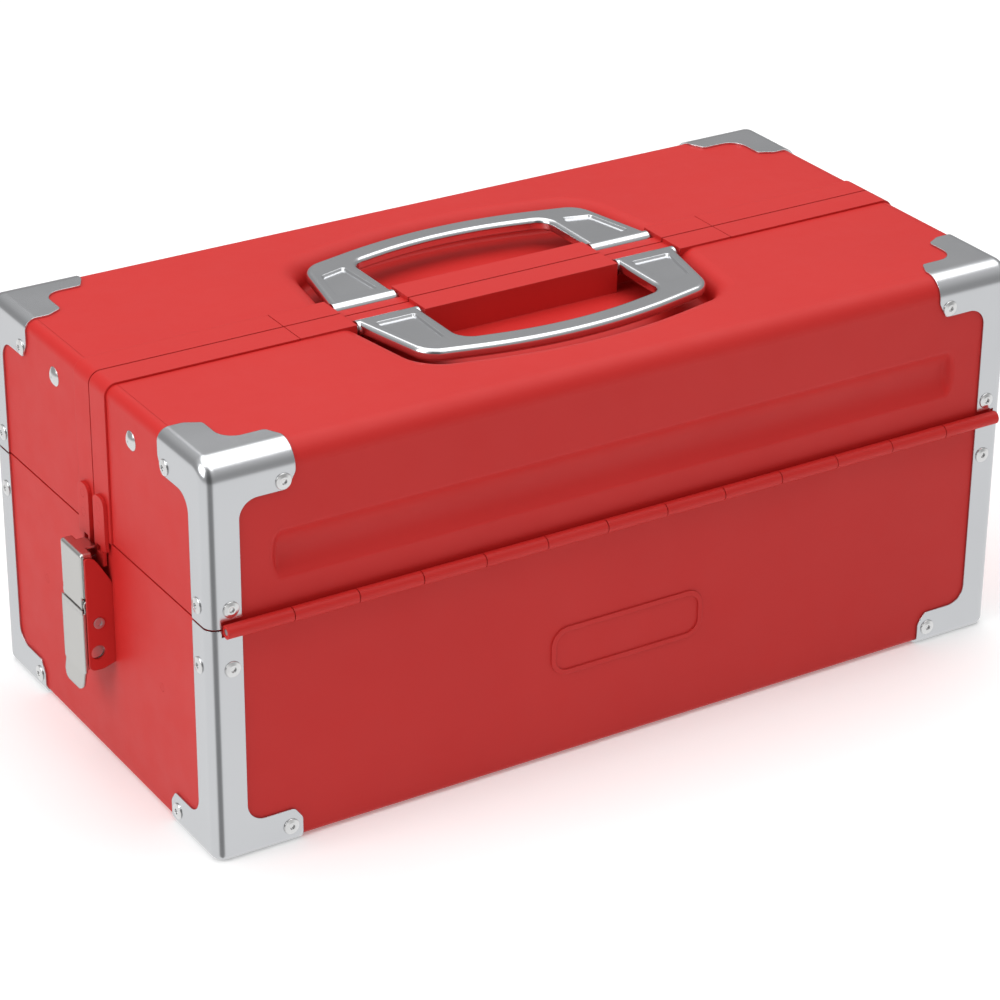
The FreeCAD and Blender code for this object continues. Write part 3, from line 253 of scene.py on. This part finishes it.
def add_floor():
    """A square of white paper, left out of the reflections."""
    mesh = bpy.data.meshes.new("floor")
    half = PAPER_HALF
    corners = [(-half, -half, 0), (half, -half, 0), (half, half, 0), (-half, half, 0)]
    mesh.from_pydata(corners, [], [(0, 1, 2, 3)])
    floor = bpy.data.objects.new("floor", mesh)
    bpy.context.scene.collection.objects.link(floor)
    mesh.materials.append(white_paper())
    floor.visible_glossy = False


def add_softbox(name, place, target, width, height, power):
    """A rectangular area light that faces a point."""
    data = bpy.data.lights.new(name, "AREA")
    data.shape = "RECTANGLE"
    data.size = width
    data.size_y = height
    data.energy = power
    lamp = bpy.data.objects.new(name, data)
    bpy.context.scene.collection.objects.link(lamp)
    lamp.location = place
    lamp.rotation_euler = (Vector(target) - Vector(place)).to_track_quat("-Z", "Y").to_euler()


def world_ramp(tree, value, stops):
    """Strength of the world from a value: stops are (place, strength)."""
    ramp = node(tree, "ValToRGB")
    ramp.color_ramp.interpolation = "EASE"
    elements = ramp.color_ramp.elements
    elements.remove(elements[0])
    for index, (place, strength) in enumerate(stops):
        element = elements[0] if index == 0 else elements.new(place)
        element.position = place
        element.color = (strength, strength, strength, 1)
    tree.links.new(value, ramp.inputs["Fac"])
    return ramp.outputs["Color"]


def world_levels(tree, direction):
    """Strength by height: bright below, dim at the horizon, brighter overhead."""
    split = node(tree, "SeparateXYZ")
    tree.links.new(direction, split.inputs["Vector"])
    height = node(tree, "MapRange", from_min=-1.0, from_max=1.0)
    tree.links.new(split.outputs["Z"], height.inputs["Value"])
    return world_ramp(tree, height.outputs["Result"], WORLD_LEVELS)


def world_dark_zone(tree, direction):
    """Share of the light that is left: 1 nearly everywhere, less towards DARK_SIDE."""
    flat = node(tree, "VectorMath", operation="MULTIPLY")
    flat.inputs[1].default_value = (1, 1, 0)
    tree.links.new(direction, flat.inputs[0])
    aim = node(tree, "VectorMath", operation="NORMALIZE")
    tree.links.new(flat.outputs["Vector"], aim.inputs[0])
    toward = node(tree, "VectorMath", operation="DOT_PRODUCT")
    toward.inputs[1].default_value = DARK_SIDE
    tree.links.new(aim.outputs["Vector"], toward.inputs[0])
    share = node(tree, "MapRange", from_min=DARK_START, from_max=DARK_FULL, to_min=1.0,
                 to_max=DARK_SHARE, interpolation_type="SMOOTHSTEP")
    tree.links.new(toward.outputs["Value"], share.inputs["Value"])
    return share.outputs["Result"]


def add_world():
    """A pale room that has one dark side."""
    world = bpy.data.worlds.new("world")
    bpy.context.scene.world = world
    world.use_nodes = True
    tree = world.node_tree
    direction = node(tree, "TexCoord").outputs["Generated"]
    total = node(tree, "Math", operation="MULTIPLY")
    tree.links.new(world_levels(tree, direction), total.inputs[0])
    tree.links.new(world_dark_zone(tree, direction), total.inputs[1])
    background = tree.nodes["Background"]
    background.inputs["Color"].default_value = (1, 1, 1, 1)
    tree.links.new(total.outputs["Value"], background.inputs["Strength"])


def add_camera():
    """Camera that looks down on the front and the left end."""
    azimuth = math.radians(CAMERA_AZIMUTH)
    elevation = math.radians(CAMERA_ELEVATION)
    roll = math.radians(CAMERA_ROLL)
    level = math.cos(elevation)
    back = Vector((math.sin(azimuth) * level, -math.cos(azimuth) * level, math.sin(elevation)))
    level_right = Vector((math.cos(azimuth), math.sin(azimuth), 0))
    level_up = back.cross(level_right)
    right = level_right * math.cos(roll) + level_up * math.sin(roll)
    up = level_up * math.cos(roll) - level_right * math.sin(roll)
    data = bpy.data.cameras.new("camera")
    data.lens = LENS_MM
    data.sensor_width = SENSOR_MM
    camera = bpy.data.objects.new("camera", data)
    bpy.context.scene.collection.objects.link(camera)
    place = back * CAMERA_DISTANCE + right * CAMERA_SIDE + up * CAMERA_LIFT
    camera.matrix_world = Matrix.Translation(place) @ Matrix((right, up, back)).transposed().to_4x4()
    bpy.context.scene.camera = camera


# ---------------------------------------------------------------- scene

materials = finishes()
dress_nodes(materials)
lever_lip("lever_lip_left", "latch_lever_left", -1, materials["latch_nickel"])
lever_lip("lever_lip_right", "latch_lever_right", 1, materials["latch_nickel"])
add_floor()
add_world()
for softbox in SOFTBOXES:
    add_softbox(*softbox)
add_camera()
bpy.context.scene.view_settings.view_transform = "Standard"
